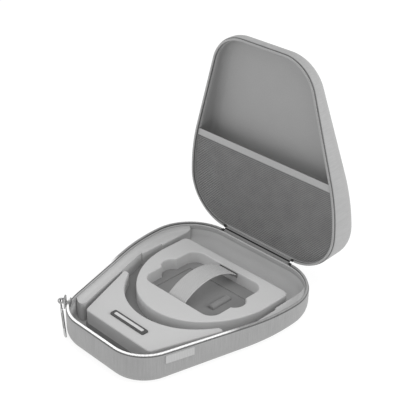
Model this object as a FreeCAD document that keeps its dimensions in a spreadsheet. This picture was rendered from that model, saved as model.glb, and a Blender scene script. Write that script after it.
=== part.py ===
"""Headphone carrying case: zipped shell with a fabric hinge, a foam tray and a mesh pocket.

The rims of base and lid are flat. The base is drawn in the frame of its rim: z is 0 on the
rim, +x is to the right and +y points to the hinge. The lid is drawn in the frame of its own
rim, closed, with its depth along +z. The flat bottom tilts a little against the rim, so the
base is turned by that angle to stand on z = 0, with the origin below the rim's centre.
"""
import FreeCAD, Part
import math
import os
import Sketcher

os.makedirs("parts", exist_ok=True)

V = FreeCAD.Vector
X_AXIS = V(1, 0, 0)
Y_AXIS = V(0, 1, 0)
Z_AXIS = V(0, 0, 1)
ORIGIN = (-1, 1)
VERTICAL_AXIS = -2
START, END, CENTRE = 1, 2, 3

SIZES = [
    # Outline of both halves, millimetres and degrees
    ("case_width", 210.0),
    ("case_length", 238.0),
    ("rear_corner_radius", 55.0),
    ("side_radius", 222.0),
    ("side_taper", 16.5),
    ("front_corner_radius", 43.0),
    # Moulded halves: depth at the middle, slant of the outside face, rounding
    ("base_depth", 31.8),
    ("base_slant", 2.0),
    ("base_edge_radius", 13.0),
    ("lid_depth", 29.8),
    ("lid_slant", 5.9),
    ("lid_edge_radius", 12.0),
    ("shell_wall", 3.0),
    ("lining_wall", 0.8),
    # Rims: both stop short of the rim plane, and the zipper stands on them
    ("rim_gap", 4.2),
    ("rim_drop", 1.2),
    ("tape_inset", 0.6),
    ("tape_width", 3.0),
    ("tape_height", 1.0),
    ("teeth_inset", 1.0),
    ("teeth_width", 2.4),
    ("teeth_height", 1.4),
    ("stop_length", 3.0),
    ("stop_height", 1.5),
    # Fabric hinge
    ("hinge_margin", 1.0),
    ("hinge_setback", 0.5),
    ("hinge_tape_inset", 0.1),
    ("hinge_tape_width", 2.6),
    ("hinge_clearance", 1.4),
    ("track_gap", 2.0),
    ("lid_opening", 87.5),
    # Hem of the linings
    ("binding_thickness", 0.6),
    ("binding_drop", 1.0),
    ("binding_height", 5.2),
    # Tray
    ("tray_clearance", 0.8),
    ("tray_top_drop", 8.2),
    ("tray_floor_thickness", 4.0),
    ("front_trough", 29.0),
    ("rear_trough", 35.0),
    ("front_block_depth", 35.0),
    ("tip_length", 77.1),
    ("front_side_gap", 21.0),
    ("tip_side_gap", 16.5),
    ("front_block_corner", 6.0),
    ("tip_rounding", 2.0),
    ("groove_width", 15.0),
    ("groove_stretch", 19.0),
    ("groove_flattening", 12.0),
    ("side_groove", 8.0),
    ("plateau_stretch", 12.0),
    ("plateau_flattening", 10.0),
    ("plateau_corner", 7.0),
    ("ledge_width", 15.4),
    ("ledge_notch", 2.0),
    ("ledge_rear_length", 45.0),
    ("ledge_front_length", 29.0),
    ("ledge_back", 21.0),
    ("rail_side_gap", 14.1),
    ("rail_setback", 2.0),
    ("rail_corner", 5.0),
    ("cove_height", 5.2),
    ("cove_radius", 5.0),
    ("cove_edge", 0.8),
    ("block_edge_radius", 1.4),
    # Cavity in the rear block
    ("cavity_width", 104.0),
    ("cavity_front_wall", 32.0),
    ("cavity_rear_wall", 11.0),
    ("cavity_corner", 13.0),
    ("lobe_radius", 13.0),
    ("lobe_reach", 7.0),
    ("liner_thickness", 1.6),
    ("liner_gap", 0.2),
    ("liner_recess", 0.8),
    ("liner_border", 8.0),
    ("rear_shelf", 16.0),
    ("rib_width", 7.6),
    ("rib_length", 28.0),
    ("rib_height", 3.6),
    ("rib_inset", 26.0),
    # Strap and its anchors
    ("strap_width", 25.0),
    ("strap_thickness", 1.4),
    ("strap_rise", 14.6),
    ("strap_seat_drop", 3.4),
    ("strap_tuck", 4.0),
    ("slot_depth", 9.0),
    ("slot_height", 6.4),
    ("slot_top_drop", 1.8),
    ("slot_clearance", 1.0),
    ("anchor_grip", 1.5),
    # Badge and label
    ("badge_length", 50.0),
    ("badge_width", 8.4),
    ("badge_thickness", 1.2),
    ("badge_from_front", 17.0),
    ("inlay_length", 42.0),
    ("inlay_width", 3.6),
    ("inlay_thickness", 0.4),
    ("badge_rounding", 0.45),
    ("label_length", 31.0),
    ("label_height", 9.0),
    ("label_thickness", 0.8),
    ("label_drop", 1.0),
    ("label_setback", 0.3),
    # Mesh pocket in the lid
    ("pocket_reach", 113.4),
    ("mesh_thickness", 0.8),
    ("pocket_band", 8.0),
    # Slider and pull
    ("slider_angle", 42.0),
    ("slider_length", 9.4),
    ("slider_clearance", 0.4),
    ("outer_plate", 1.6),
    ("inner_plate", 1.2),
    ("outer_plate_height", 11.2),
    ("inner_plate_height", 5.8),
    ("post_width", 3.4),
    ("post_height", 1.0),
    ("bail_wire", 1.2),
    ("bail_length", 8.4),
    ("bail_reach", 3.7),
    ("bail_rise", 1.3),
    ("bail_foot", 0.1),
    ("eye_outer", 5.6),
    ("eye_inner", 3.8),
    ("eye_width", 2.6),
    ("eye_drop", 0.3),
    ("pull_length", 39.4),
    ("pull_width", 8.0),
    ("pull_thickness", 1.4),
    ("pull_neck", 4.0),
    ("pull_slot_width", 2.8),
    ("pull_slot_length", 17.0),
    ("pull_slot_drop", 13.0),
    ("pull_lean", 17.5),
    ("pull_twist", 26.0),
]

doc = FreeCAD.newDocument("headphone_case")
sheet = doc.addObject("Spreadsheet::Sheet", "Sizes")
for row, (alias, number) in enumerate(SIZES, start=1):
    sheet.set(f"A{row}", alias)
    sheet.set(f"B{row}", str(number))
    sheet.setAlias(f"B{row}", alias)
doc.recompute()


class Size:
    """A length or angle: its value, and the expression on the sheet that gives it."""

    def __init__(self, value, text):
        self.value = value
        self.text = text

    def join(self, sign, other, value):
        return Size(value, f"({self.text} {sign} {of(other).text})")

    def __add__(self, other):
        return self.join("+", other, self.value + of(other).value)

    def __sub__(self, other):
        return self.join("-", other, self.value - of(other).value)

    def __mul__(self, other):
        return self.join("*", other, self.value * of(other).value)

    def __truediv__(self, other):
        return self.join("/", other, self.value / of(other).value)

    def __neg__(self):
        return Size(-self.value, f"(0 - {self.text})")


def of(thing):
    """The named size on the sheet, or a plain number as a size."""
    if isinstance(thing, Size):
        return thing
    if isinstance(thing, str):
        return Size(float(sheet.get(thing)), f"Sizes.{thing}")
    return Size(float(thing), repr(float(thing)))


def sine(angle):
    return Size(math.sin(math.radians(angle.value)), f"sin({angle.text} * 1 deg)")


def cosine(angle):
    return Size(math.cos(math.radians(angle.value)), f"cos({angle.text} * 1 deg)")


def tangent(angle):
    return Size(math.tan(math.radians(angle.value)), f"tan({angle.text} * 1 deg)")


ZERO = of(0)
HALF_WIDTH = of("case_width") / 2
HALF_LENGTH = of("case_length") / 2
BEYOND = of("case_width") + of("case_length")
TAPER = of("side_taper")

# Where the side arc meets the straight side, and where that meets the front corner
SIDE_X = HALF_WIDTH - of("side_radius") + of("side_radius") * cosine(TAPER)
SIDE_Y = HALF_LENGTH - of("rear_corner_radius") - of("side_radius") * sine(TAPER)
CORNER_Y = of("front_corner_radius") - HALF_LENGTH
TURN_Y = CORNER_Y - of("front_corner_radius") * sine(TAPER)
TURN_X = SIDE_X - (SIDE_Y - TURN_Y) * tangent(TAPER)
CORNER_X = TURN_X - of("front_corner_radius") * cosine(TAPER)
REAR_HALF = HALF_WIDTH - of("rear_corner_radius")
HINGE_HALF = REAR_HALF - of("hinge_margin")

LINING_INSET = of("shell_wall")
INSIDE_INSET = LINING_INSET + of("lining_wall")
TRAY_INSET = INSIDE_INSET + of("tray_clearance")
RIM_TOP = -of("rim_drop")
TAPE_TOP = RIM_TOP + of("tape_height")
TEETH_TOP = TAPE_TOP + of("teeth_height")

TRAY_TOP = -of("tray_top_drop")
TRAY_LEVEL = -(of("base_depth") - INSIDE_INSET - of("tray_floor_thickness"))
FRONT_EDGE = of("front_trough") - HALF_LENGTH
TIP_Y = FRONT_EDGE + of("tip_length")
BACK_EDGE = HALF_LENGTH - of("rear_trough")
GROOVE_FRONT = FRONT_EDGE + of("front_block_depth")
PLATEAU_FRONT = GROOVE_FRONT + of("groove_width")
LEDGE_X = HALF_WIDTH - TRAY_INSET - of("ledge_width")
GROOVE_HALF = LEDGE_X + of("ledge_notch") / 2
PLATEAU_HALF = GROOVE_HALF - of("side_groove")
LEDGE_BACK = HALF_LENGTH - of("ledge_back")
LEDGE_STEP = LEDGE_BACK - of("ledge_rear_length")
LEDGE_FRONT = LEDGE_STEP - of("ledge_front_length")
CAVITY_FRONT = PLATEAU_FRONT + of("cavity_front_wall")
CAVITY_BACK = BACK_EDGE - of("cavity_rear_wall")
CAVITY_MIDDLE = (CAVITY_FRONT + CAVITY_BACK) / 2
CAVITY_HALF = of("cavity_width") / 2

bodies = []


def rotation(axis, angle):
    return FreeCAD.Placement(V(0, 0, 0), FreeCAD.Rotation(axis, angle))


def shift(x, y, z):
    return FreeCAD.Placement(V(x, y, z), FreeCAD.Rotation())


def base_place():
    """Rim frame to the frame of the whole case, standing on its bottom."""
    slant = of("base_slant").value
    height = of("base_depth").value * math.cos(math.radians(slant))
    return shift(0, 0, height).multiply(rotation(X_AXIS, -slant))


def lid_place():
    """Closed lid frame to the frame of the whole case, with the lid open."""
    gap = of("rim_gap").value
    back = (HALF_LENGTH - of("hinge_setback")).value
    to_hinge = shift(0, back, gap / 2)
    from_hinge = shift(0, -back, gap / 2)
    swing = rotation(X_AXIS, -of("lid_opening").value)
    return base_place().multiply(to_hinge).multiply(swing).multiply(from_hinge)


def slider_place():
    """Frame at the centre of the front left corner, with x through the slider."""
    on_rim = shift(-CORNER_X.value, CORNER_Y.value, 0)
    return base_place().multiply(on_rim).multiply(rotation(Z_AXIS, 180 + of("slider_angle").value))


def new_body(label, placement):
    body = doc.addObject("PartDesign::Body", label)
    body.Label = label
    body.Placement = placement
    bodies.append(body)
    return body


def new_sketch(body, plane="XY_Plane", height=ZERO):
    """Sketch on one of the body's own planes, raised along that plane's normal."""
    sketch = body.newObject("Sketcher::SketchObject", body.Label + "_sketch")
    support = next(face for face in body.Origin.OriginFeatures if face.Role == plane)
    sketch.AttachmentSupport = [(support, "")]
    sketch.MapMode = "FlatFace"
    sketch.setExpression(".AttachmentOffset.Base.z", height.text)
    return sketch


def measure(sketch, kind, *where_and_size):
    """Dimension of the sketch, bound to the sheet."""
    *where, size = where_and_size
    scale = math.radians(1) if kind == "Angle" else 1
    unit = " * 1 deg" if kind == "Angle" else ""
    index = sketch.addConstraint(Sketcher.Constraint(kind, *where, size.value * scale))
    sketch.setExpression(f"Constraints[{index}]", size.text + unit)


def relate(sketch, kind, *where):
    sketch.addConstraint(Sketcher.Constraint(kind, *where))


def fix_point(sketch, curve, end, x, y):
    measure(sketch, "DistanceX", *ORIGIN, curve, end, x)
    measure(sketch, "DistanceY", *ORIGIN, curve, end, y)


def line(sketch, x0, y0, x1, y1):
    """Line between two places given as plain numbers."""
    return sketch.addGeometry(Part.LineSegment(V(x0, y0, 0), V(x1, y1, 0)))


def arc(sketch, x, y, radius, start, end):
    """Arc, anticlockwise, with its angles in degrees."""
    circle = Part.Circle(V(x, y, 0), Z_AXIS, radius)
    return sketch.addGeometry(Part.ArcOfCircle(circle, math.radians(start), math.radians(end)))


def polygon(sketch, corners):
    """Closed loop of straight sides with every corner bound to the sheet."""
    following = corners[1:] + corners[:1]
    sides = [line(sketch, a.value, b.value, c.value, d.value) for (a, b), (c, d) in zip(corners, following)]
    for index, (x, y) in enumerate(corners):
        relate(sketch, "Coincident", sides[index - 1], END, sides[index], START)
        fix_point(sketch, sides[index], START, x, y)


def rectangle(sketch, x0, x1, y0, y1):
    polygon(sketch, [(x0, y0), (x1, y0), (x1, y1), (x0, y1)])


def circle(sketch, x, y, radius):
    index = sketch.addGeometry(Part.Circle(V(x.value, y.value, 0), Z_AXIS, radius.value))
    fix_point(sketch, index, CENTRE, x, y)
    measure(sketch, "Radius", index, radius)


def outline(sketch, inset):
    """The case's outline, moved inwards: ten tangent lines and arcs, anticlockwise."""
    rear_radius = of("rear_corner_radius") - inset
    side_radius = of("side_radius") - inset
    front_radius = of("front_corner_radius") - inset
    rear, front = HALF_LENGTH - inset, inset - HALF_LENGTH
    a, b = REAR_HALF.value, CORNER_X.value
    rear_y, side_y = (HALF_LENGTH - of("rear_corner_radius")).value, CORNER_Y.value
    side_x, taper = (HALF_WIDTH - of("side_radius")).value, TAPER.value
    lean = V(math.cos(math.radians(taper)), -math.sin(math.radians(taper)), 0)
    top = V(side_x, rear_y, 0) + lean * side_radius.value
    low = V(b, side_y, 0) + lean * front_radius.value
    loop = [
        line(sketch, a, rear.value, -a, rear.value),
        arc(sketch, -a, rear_y, rear_radius.value, 90, 180),
        arc(sketch, -side_x, rear_y, side_radius.value, 180, 180 + taper),
        line(sketch, -top.x, top.y, -low.x, low.y),
        arc(sketch, -b, side_y, front_radius.value, 180 + taper, 270),
        line(sketch, -b, front.value, b, front.value),
        arc(sketch, b, side_y, front_radius.value, 270, 360 - taper),
        line(sketch, low.x, low.y, top.x, top.y),
        arc(sketch, side_x, rear_y, side_radius.value, 360 - taper, 360),
        arc(sketch, a, rear_y, rear_radius.value, 0, 90),
    ]
    for before, after in zip(loop, loop[1:] + loop[:1]):
        relate(sketch, "Tangent", before, END, after, START)
    for curve, radius in zip((loop[9], loop[8], loop[6]), (rear_radius, side_radius, front_radius)):
        measure(sketch, "Radius", curve, radius)
    for left, right in ((1, 9), (2, 8), (4, 6)):
        relate(sketch, "Equal", loop[left], loop[right])
    for straight in (loop[0], loop[5]):
        relate(sketch, "Symmetric", straight, START, straight, END, VERTICAL_AXIS)
    measure(sketch, "DistanceY", *ORIGIN, loop[0], START, rear)
    measure(sketch, "DistanceY", *ORIGIN, loop[5], START, front)
    measure(sketch, "DistanceX", *ORIGIN, loop[9], START, HALF_WIDTH - inset)
    relate(sketch, "Horizontal", loop[9], CENTRE, loop[9], START)
    relate(sketch, "Horizontal", loop[1], CENTRE, loop[1], END)
    measure(sketch, "Angle", loop[7], of(90) - TAPER)


def plateau(sketch, half, front, stretch, flattening, reach):
    """D shape: a flattened round front, and straight sides that run back to reach."""
    radius = half - flattening
    drop = stretch + flattening
    side_offset = (drop * drop - flattening * flattening) / (flattening * 2)
    start = front + half + stretch
    side_radius = half + side_offset
    turn = math.degrees(math.atan2(drop.value, side_offset.value))
    loop = [
        line(sketch, half.value, reach.value, -half.value, reach.value),
        line(sketch, -half.value, reach.value, -half.value, start.value),
        arc(sketch, side_offset.value, start.value, side_radius.value, 180, 180 + turn),
        arc(sketch, 0, (front + radius).value, radius.value, 180 + turn, 360 - turn),
        arc(sketch, -side_offset.value, start.value, side_radius.value, 360 - turn, 360),
        line(sketch, half.value, start.value, half.value, reach.value),
    ]
    relate(sketch, "Coincident", loop[0], END, loop[1], START)
    relate(sketch, "Coincident", loop[5], END, loop[0], START)
    for before, after in zip(loop[1:5], loop[2:6]):
        relate(sketch, "Tangent", before, END, after, START)
    fix_point(sketch, loop[0], START, half, reach)
    fix_point(sketch, loop[0], END, -half, reach)
    for side, end in ((loop[1], END), (loop[5], START)):
        relate(sketch, "Vertical", side)
        measure(sketch, "DistanceY", *ORIGIN, side, end, start)
    measure(sketch, "Radius", loop[3], radius)
    fix_point(sketch, loop[3], CENTRE, ZERO, front + radius)


def ring_piece(sketch, x, y, inner, outer, reach, upright):
    """Piece of a ring about (x, y), centred on the way up or on the way along x."""
    half_angle = math.asin(reach.value / outer.value)
    heading = math.pi / 2 if upright else 0
    from_angle, to_angle = math.degrees(heading - half_angle), math.degrees(heading + half_angle)
    curves = [arc(sketch, x.value, y.value, radius.value, from_angle, to_angle)
              for radius in (outer, inner)]
    for curve, radius in zip(curves, (outer, inner)):
        fix_point(sketch, curve, CENTRE, x, y)
        measure(sketch, "Radius", curve, radius)
    for angle, end in ((heading - half_angle, START), (heading + half_angle, END)):
        way = V(math.cos(angle), math.sin(angle), 0)
        near, far = V(x.value, y.value, 0) + way * inner.value, V(x.value, y.value, 0) + way * outer.value
        side = line(sketch, near.x, near.y, far.x, far.y)
        relate(sketch, "Coincident", side, START, curves[1], end)
        relate(sketch, "Coincident", side, END, curves[0], end)
        relate(sketch, "PointOnObject", curves[0], CENTRE, side)
    across, along = ("DistanceX", x) if upright else ("DistanceY", y)
    start_offset = reach if upright else -reach
    measure(sketch, across, *ORIGIN, curves[0], START, along + start_offset)
    measure(sketch, across, *ORIGIN, curves[0], END, along - start_offset)


def pad(body, sketch, length, both_ways=False, backwards=False):
    feature = body.newObject("PartDesign::Pad", body.Label + "_pad")
    feature.Profile = sketch
    feature.SideType = "Symmetric" if both_ways else "One side"
    feature.Reversed = backwards
    feature.setExpression("Length", length.text)


def pocket(body, sketch, depth=None, backwards=False, both_ways=False):
    """Cut against the sketch's normal to a depth, or right through both ways."""
    doc.recompute()
    before = body.Shape.Volume
    feature = body.newObject("PartDesign::Pocket", body.Label + "_pocket")
    feature.Profile = sketch
    feature.Reversed = backwards
    feature.SideType = "Symmetric" if both_ways or depth is None else "One side"
    if depth is None:
        feature.Type = "ThroughAll"
    else:
        feature.setExpression("Length", depth.text)
    doc.recompute()
    if not body.Shape.Volume < before:
        raise ValueError(body.Label + ": a pocket cuts nothing")


def fillet(body, radius, wanted):
    """Round the edges of the body's tip for which wanted(edge) holds."""
    doc.recompute()
    tip = body.Tip
    names = [f"Edge{n}" for n, edge in enumerate(tip.Shape.Edges, start=1) if wanted(edge)]
    if not names:
        raise ValueError(body.Label + ": no edge to round")
    feature = body.newObject("PartDesign::Fillet", body.Label + "_fillet")
    feature.Base = (tip, names)
    feature.setExpression("Radius", radius.text)
    doc.recompute()


def is_upright(edge):
    """Straight edge along z."""
    ends = [vertex.Point for vertex in edge.Vertexes]
    return len(ends) == 2 and abs(edge.tangentAt(edge.FirstParameter).z) > 0.999


def is_sharp(edge, shape):
    """Edge of a shape where its two faces meet at an angle."""
    middle = edge.valueAt((edge.FirstParameter + edge.LastParameter) / 2)
    normals = [face.normalAt(*face.Surface.parameter(middle))
               for face in shape.ancestorsOfType(edge, Part.Face)]
    return normals[0].getAngle(normals[1]) > 0.1


def lies_at(shape, height):
    """Edge or face that lies flat at a height."""
    return shape.BoundBox.ZLength < 0.001 and abs(shape.CenterOfMass.z - height) < 0.001


def slanted_blank(label, placement, outline_inset, inset, half):
    """Solid outline from a rim to the slanted face of one half, with its edge rounded.

    The face and its rounding lie inset below the half's outside.
    """
    side = -1 if half == "base" else 1
    depth, slant, radius = of(half + "_depth"), of(half + "_slant"), of(half + "_edge_radius")
    body = new_body(label, placement)
    rim = of("rim_drop") * side
    sketch = new_sketch(body, height=rim)
    outline(sketch, outline_inset)
    pad(body, sketch, BEYOND, backwards=side < 0)
    face = new_sketch(body, plane="YZ_Plane")
    rise = tangent(slant) * BEYOND
    level = (depth - inset / cosine(slant)) * side
    far = BEYOND * side * 2
    polygon(face, [(-BEYOND, level - rise), (BEYOND, level + rise), (BEYOND, far), (-BEYOND, far)])
    pocket(body, face)
    fillet(body, radius - inset, lambda edge: not is_upright(edge) and not lies_at(edge, rim.value))
    return body, rim


def hollow(body, rim, wall):
    """Turn the blank into a shell that is open at its rim."""
    tip = body.Tip
    faces = [f"Face{n}" for n, face in enumerate(tip.Shape.Faces, start=1)
             if lies_at(face, rim.value)]
    before = tip.Shape.Volume
    feature = body.newObject("PartDesign::Thickness", body.Label + "_thickness")
    feature.Base = (tip, faces)
    feature.Join = "Arc"
    feature.Reversed = True
    feature.setExpression("Value", wall.text)
    doc.recompute()
    if not 0 < feature.Shape.Volume < before:
        raise ValueError(body.Label + ": not hollow")


def make_shell(label, placement, inset, wall, half):
    """One moulded layer of the base or the lid."""
    body, rim = slanted_blank(label, placement, inset, inset, half)
    hollow(body, rim, wall)


def make_ring(label, placement, inset, width, low, height):
    """Band of constant width along the rim."""
    body = new_body(label, placement)
    sketch = new_sketch(body, height=low)
    outline(sketch, inset)
    outline(sketch, inset + width)
    pad(body, sketch, height)
    return body


def make_block(label, placement, low, height, x0, x1, y0, y1):
    body = new_body(label, placement)
    sketch = new_sketch(body, height=low)
    rectangle(sketch, x0, x1, y0, y1)
    pad(body, sketch, height)
    return body


def cut_rear(body, half, front):
    """Leave the band out between -half and half behind front."""
    sketch = new_sketch(body)
    rectangle(sketch, -half, half, front, BEYOND)
    pocket(body, sketch)


def make_zipper(half, placement):
    """Tape, row of teeth and two end stops of one half."""
    up = half == "base"
    behind = HALF_LENGTH - of("rear_corner_radius") / 2
    track_half = REAR_HALF + of("track_gap")
    tape = make_ring(half + "_zipper_tape", placement, of("tape_inset"), of("tape_width"),
                     RIM_TOP if up else -TAPE_TOP, of("tape_height"))
    cut_rear(tape, REAR_HALF, behind)
    teeth = make_ring(half + "_zipper_teeth", placement, of("teeth_inset"), of("teeth_width"),
                      TAPE_TOP if up else -TEETH_TOP, of("teeth_height"))
    cut_rear(teeth, track_half, behind)
    stops = make_ring(half + "_zip_stops", placement, of("teeth_inset"), of("teeth_width"),
                      TAPE_TOP if up else -(TAPE_TOP + of("stop_height")), of("stop_height"))
    around = new_sketch(stops)
    polygon(around, [(-BEYOND, -BEYOND), (BEYOND, -BEYOND), (BEYOND, BEYOND), (track_half, BEYOND),
                     (track_half, behind), (-track_half, behind), (-track_half, BEYOND), (-BEYOND, BEYOND)])
    pocket(stops, around)
    cut_rear(stops, track_half - of("stop_length"), behind - of("stop_length"))


def make_hinge_tape(half, placement):
    """The part of the fabric hinge that lies on one rim, clear of the hinge line."""
    reach = of("rim_gap") / 2 - of("hinge_clearance")
    outer = HALF_LENGTH - of("hinge_tape_inset")
    make_block(half + "_hinge_tape", placement, RIM_TOP if half == "base" else -reach,
               reach + of("rim_drop"), -HINGE_HALF, HINGE_HALF, outer - of("hinge_tape_width"), outer)


def front_block_corners():
    """Half widths of the front block at its front edge and at its tips."""
    at_front = SIDE_X - (SIDE_Y - FRONT_EDGE) * tangent(TAPER) - of("front_side_gap")
    at_tip = SIDE_X - (SIDE_Y - TIP_Y) * tangent(TAPER) - of("tip_side_gap")
    return at_front, at_tip


def make_tray_floor(placement):
    """Slab from the lining up to the floor of the grooves, open at the troughs."""
    body, _ = slanted_blank("tray_floor", placement, TRAY_INSET, INSIDE_INSET, "base")
    above = new_sketch(body, height=TRAY_LEVEL)
    rectangle(above, -BEYOND, BEYOND, -BEYOND, BEYOND)
    pocket(body, above, BEYOND, backwards=True)
    at_front, at_tip = front_block_corners()
    front = new_sketch(body)
    polygon(front, [(-BEYOND, TIP_Y), (-at_tip, TIP_Y), (-at_front, FRONT_EDGE), (at_front, FRONT_EDGE),
                    (at_tip, TIP_Y), (BEYOND, TIP_Y), (BEYOND, -BEYOND), (-BEYOND, -BEYOND)])
    pocket(body, front)
    rear = new_sketch(body)
    rectangle(rear, -BEYOND, BEYOND, BACK_EDGE, BEYOND)
    pocket(body, rear)


def round_top(body):
    fillet(body, of("block_edge_radius"), lambda edge: lies_at(edge, TRAY_TOP.value))


def make_front_block(placement):
    """Front plateau, cut back by the round outer wall of the groove."""
    at_front, at_tip = front_block_corners()
    body = new_body("front_block", placement)
    sketch = new_sketch(body, height=TRAY_LEVEL)
    polygon(sketch, [(-at_front, FRONT_EDGE), (at_front, FRONT_EDGE), (at_tip, TIP_Y), (-at_tip, TIP_Y)])
    pad(body, sketch, TRAY_TOP - TRAY_LEVEL)
    fillet(body, of("front_block_corner"),
           lambda edge: is_upright(edge) and edge.CenterOfMass.y < GROOVE_FRONT.value)
    groove = new_sketch(body)
    plateau(groove, GROOVE_HALF, GROOVE_FRONT, of("groove_stretch"), of("groove_flattening"), BEYOND)
    pocket(body, groove)
    fillet(body, of("tip_rounding"),
           lambda edge: is_upright(edge) and edge.CenterOfMass.y > GROOVE_FRONT.value
           and is_sharp(edge, body.Tip.Shape))
    round_top(body)


def cavity(body, low, height, gap, additive):
    """Rounded rectangle with a round lobe at each side, cut out or added."""
    corner = of("cavity_corner") - gap
    lobe = of("lobe_radius") - gap
    lobe_x = CAVITY_HALF + of("lobe_reach") - of("lobe_radius")
    room = new_sketch(body, height=low)
    rectangle(room, gap - CAVITY_HALF, CAVITY_HALF - gap, CAVITY_FRONT + gap, CAVITY_BACK - gap)
    lobes = []
    for side in (-1, 1):
        sketch = new_sketch(body, height=low)
        circle(sketch, lobe_x * side, CAVITY_MIDDLE, lobe)
        lobes.append(sketch)
    if additive:
        pad(body, room, height)
    else:
        pocket(body, room)
    inside = CAVITY_HALF.value + 1
    fillet(body, corner, lambda edge: is_upright(edge) and abs(edge.CenterOfMass.x) < inside
           and CAVITY_FRONT.value - 1 < edge.CenterOfMass.y < CAVITY_BACK.value + 1)
    for sketch in lobes:
        if additive:
            pad(body, sketch, height)
        else:
            pocket(body, sketch)


def strap_slots():
    """Height of the slots' floor, and their ends along y, front then rear."""
    top = TRAY_TOP - of("slot_top_drop")
    front = (CAVITY_FRONT - of("slot_depth"), CAVITY_FRONT)
    rear = (CAVITY_BACK, CAVITY_BACK + of("slot_depth"))
    return top - of("slot_height"), top, front, rear


def make_rear_block(placement):
    """D-shaped plateau with the cavity through it and a slot for each end of the strap."""
    body = new_body("rear_block", placement)
    sketch = new_sketch(body, height=TRAY_LEVEL)
    plateau(sketch, PLATEAU_HALF, PLATEAU_FRONT, of("plateau_stretch"), of("plateau_flattening"), BEYOND)
    pad(body, sketch, TRAY_TOP - TRAY_LEVEL)
    rear = new_sketch(body)
    rectangle(rear, -BEYOND, BEYOND, BACK_EDGE, BEYOND * 2)
    pocket(body, rear)
    fillet(body, of("plateau_corner"),
           lambda edge: is_upright(edge) and edge.CenterOfMass.y > BACK_EDGE.value - 1)
    cavity(body, TRAY_LEVEL, ZERO, ZERO, additive=False)
    low, top, front, back = strap_slots()
    slots = new_sketch(body, plane="YZ_Plane")
    for y0, y1 in (front, back):
        rectangle(slots, y0, y1, low, top)
    pocket(body, slots, of("strap_width") + of("slot_clearance") * 2, both_ways=True)
    round_top(body)


def make_ledge(label, placement, side):
    """Ledge along the side wall, coved up to it, with a narrower rail beside the front block."""
    body, _ = slanted_blank(label, placement, TRAY_INSET, INSIDE_INSET, "base")
    above = new_sketch(body, height=TRAY_TOP + of("cove_height"))
    rectangle(above, -BEYOND, BEYOND, -BEYOND, BEYOND)
    pocket(body, above, BEYOND, backwards=True)
    inside = new_sketch(body, height=TRAY_TOP)
    outline(inside, TRAY_INSET + of("cove_edge"))
    pocket(body, inside, BEYOND, backwards=True)
    fillet(body, of("cove_radius"), lambda edge: lies_at(edge, TRAY_TOP.value))
    below = new_sketch(body, plane="YZ_Plane")
    rectangle(below, TIP_Y, BEYOND, -BEYOND, TRAY_LEVEL)
    pocket(body, below)
    front, far = FRONT_EDGE + of("rail_setback"), BEYOND * side
    rail_x = SIDE_X - of("rail_side_gap")
    start_x = (rail_x - (SIDE_Y - front) * tangent(TAPER)) * side
    end_x = (rail_x - (SIDE_Y - LEDGE_FRONT) * tangent(TAPER)) * side
    rear_x, front_x = LEDGE_X * side, (LEDGE_X + of("ledge_notch")) * side
    away = new_sketch(body)
    polygon(away, [(-far, -BEYOND), (far, -BEYOND), (far, front), (start_x, front), (end_x, LEDGE_FRONT),
                   (front_x, LEDGE_FRONT), (front_x, LEDGE_STEP), (rear_x, LEDGE_STEP),
                   (rear_x, LEDGE_BACK), (far, LEDGE_BACK), (far, BEYOND), (-far, BEYOND)])
    pocket(body, away)
    fillet(body, of("rail_corner"),
           lambda edge: is_upright(edge) and abs(edge.CenterOfMass.x - start_x.value) < 0.001)
    fillet(body, of("block_edge_radius"),
           lambda edge: lies_at(edge, TRAY_TOP.value) and edge.BoundBox.XLength < 0.001)


def make_liner(placement):
    """Moulded floor of the cavity, with a shallow recess and a rib."""
    body = new_body("cavity_liner", placement)
    thickness, gap, border = of("liner_thickness"), of("liner_gap"), of("liner_border")
    cavity(body, TRAY_LEVEL, thickness, gap, additive=True)
    top = TRAY_LEVEL + thickness
    recess = new_sketch(body, height=top)
    rectangle(recess, border - CAVITY_HALF, CAVITY_HALF - border, CAVITY_FRONT + border / 2,
              CAVITY_BACK - of("rear_shelf"))
    pocket(body, recess, of("liner_recess"))
    rib = new_sketch(body, height=top - of("liner_recess"))
    rib_x = CAVITY_HALF - of("rib_inset")
    half_rib = of("rib_length") / 2
    rectangle(rib, rib_x - of("rib_width") / 2, rib_x + of("rib_width") / 2, CAVITY_MIDDLE - half_rib,
              CAVITY_MIDDLE + half_rib)
    pad(body, rib, of("rib_height"))
    rib_top = (top - of("liner_recess") + of("rib_height")).value
    fillet(body, of("rib_width") / 3, lambda edge: lies_at(edge, rib_top))


def make_strap(placement):
    """Elastic that arches over the cavity, with an end tucked into each slot."""
    half_span = (CAVITY_BACK - CAVITY_FRONT) / 2
    rise = of("strap_rise")
    radius = (half_span * half_span + rise * rise) / (rise * 2)
    seat = TRAY_TOP - of("strap_seat_drop")
    body = new_body("elastic_strap", placement)
    sketch = new_sketch(body, plane="YZ_Plane")
    ring_piece(sketch, CAVITY_MIDDLE, seat + rise - radius, radius - of("strap_thickness"), radius,
               half_span + of("strap_tuck"), upright=True)
    pad(body, sketch, of("strap_width"), both_ways=True)


def make_anchors(placement):
    """Bars that grip the ends of the strap at the bottom of its slots."""
    low, top, front, rear = strap_slots()
    half = of("strap_width") / 2
    grip = of("strap_tuck") - of("anchor_grip")
    make_block("front_strap_anchor", placement, low, top - low, -half, half, front[0], front[1] - grip)
    make_block("rear_strap_anchor", placement, low, top - low, -half, half, rear[0] + grip, rear[1])


def make_badge(placement):
    """Plain plate on the front plateau, with a plain bar on it."""
    middle = FRONT_EDGE + of("badge_from_front")
    for label, name, low in (("badge_plate", "badge", TRAY_TOP),
                             ("badge_inlay", "inlay", TRAY_TOP + of("badge_thickness"))):
        half_length, half_width = of(name + "_length") / 2, of(name + "_width") / 2
        body = make_block(label, placement, low, of(name + "_thickness"), -half_length, half_length,
                          middle - half_width, middle + half_width)
        fillet(body, half_width * of("badge_rounding"), is_upright)


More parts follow.
